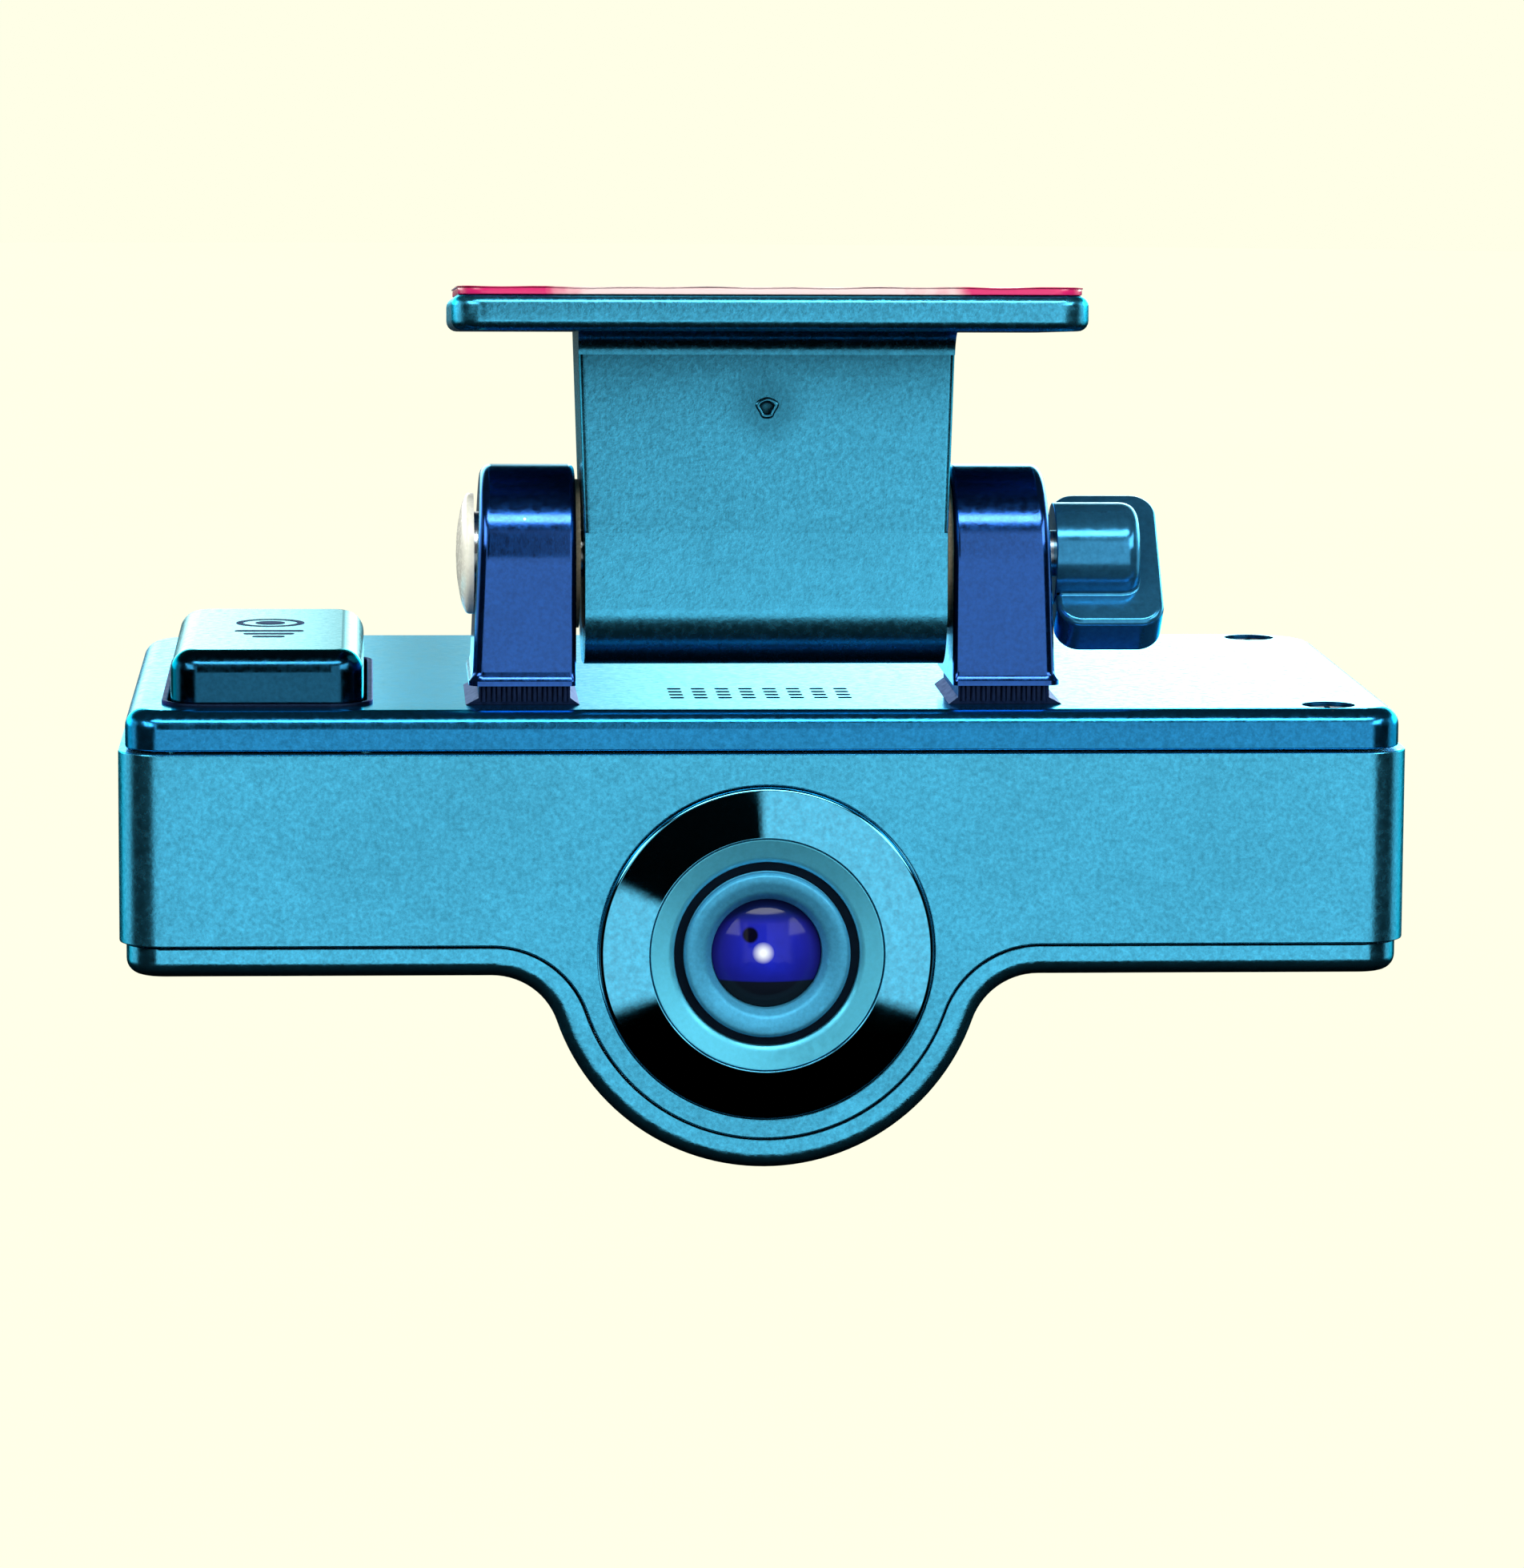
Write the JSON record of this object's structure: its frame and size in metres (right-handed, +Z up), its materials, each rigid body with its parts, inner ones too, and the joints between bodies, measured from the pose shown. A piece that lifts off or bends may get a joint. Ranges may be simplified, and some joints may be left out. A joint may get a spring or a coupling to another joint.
{
  "type": "dash camera",
  "caption": "Flat windscreen dash camera with a round lens keel, hung from a tilting adhesive bracket with a lock knob, with a sprung record key and a slide-out memory card.",
  "frame": {"origin": "middle of the adhesive face that meets the glass", "axes": "+X to the right seen from the lens side, +Y back from the lens, +Z up"},
  "size_m": [0.11, 0.064, 0.0757],
  "materials": {
    "liner_film": "clear-edged red protective film",
    "foam_tape": "soft foam tape",
    "bracket_plastic": "fine moulded grain",
    "ear_plastic": "smooth moulded",
    "knob_plastic": "smooth moulded",
    "foot_rubber": "dark ribbed",
    "fibre": "pressed fibre",
    "steel": "plated",
    "dark_screw": "blackened",
    "case_plastic": "fine moulded grain",
    "key_plastic": "fine moulded grain",
    "dark_plastic": "moulded",
    "trim_gloss": "polished",
    "satin_plastic": "satin",
    "barrel_plastic": "satin",
    "coated_glass": "blue anti-reflection coating",
    "chip": "moulded epoxy",
    "board": "solder mask",
    "sink_metal": "extruded",
    "ceramic": "fired ceramic",
    "cell_sleeve": "shrink sleeve",
    "socket_metal": "plated",
    "card_plastic": "moulded",
    "led": "clear epoxy",
    "clear_plastic": "clear moulded"
  },
  "bodies": {
    "mount": {"tape_liner": "liner_film", "adhesive_tape": "foam_tape", "bracket": "bracket_plastic"},
    "camera": {"friction_washers": "fibre", "hinge_bolt": "steel", "hinge_cap": "ear_plastic", "left_ear": "ear_plastic", "right_ear": "ear_plastic", "ear_feet": "foot_rubber", "ear_screws": "steel", "top_cover": "case_plastic", "band_front": "case_plastic", "band_rear": "case_plastic", "band_left": "case_plastic", "band_right": "case_plastic", "lower_cover": "case_plastic", "cover_screws": "dark_screw", "key_bezel": "dark_plastic", "key_switch": "dark_plastic", "trim_ring": "trim_gloss", "satin_cone": "satin_plastic", "lens_barrel": "barrel_plastic", "front_glass": "coated_glass", "rear_glass": "coated_glass", "lens_holder": "dark_plastic", "image_sensor": "chip", "sensor_board": "board", "main_board": "board", "board_screws": "steel", "processor": "chip", "memory_chips": "chip", "heat_sink": "sink_metal", "gps_antenna": "ceramic", "backup_cells": "cell_sleeve", "speaker": "dark_plastic", "microphone": "socket_metal", "power_socket": "socket_metal", "video_socket": "dark_plastic", "card_socket": "socket_metal", "status_leds": "led", "light_pipes": "clear_plastic", "mode_switch": "dark_plastic"},
    "knob": {"lock_knob": "knob_plastic"},
    "key": {"record_key": "key_plastic"},
    "card": {"memory_card": "card_plastic"},
    "mode": {"mode_button": "knob_plastic"}
  },
  "joints": [
    {"name": "tilt", "type": "hinge", "parent": "mount", "child": "camera", "pos_m": [0, -0.00469, -0.02258], "axis": [1, 0, 0], "range_deg": [-60, 50]},
    {"name": "lock_turn", "type": "hinge", "parent": "camera", "child": "knob", "pos_m": [0, -0.00469, -0.02258], "axis": [1, 0, 0], "range_deg": [-180, 0]},
    {"name": "record_press", "type": "slide", "parent": "camera", "child": "key", "axis": [0, 0, -1], "range_m": [0, 0.0008], "stiffness_N_per_m": 800, "springref_m": -0.0008},
    {"name": "card_slide", "type": "slide", "parent": "camera", "child": "card", "axis": [1, 0, 0], "range_m": [0, 0.014]},
    {"name": "mode_press", "type": "slide", "parent": "camera", "child": "mode", "axis": [0, -1, 0], "range_m": [0, 0.0006], "stiffness_N_per_m": 500, "springref_m": -0.0006}
  ]
}
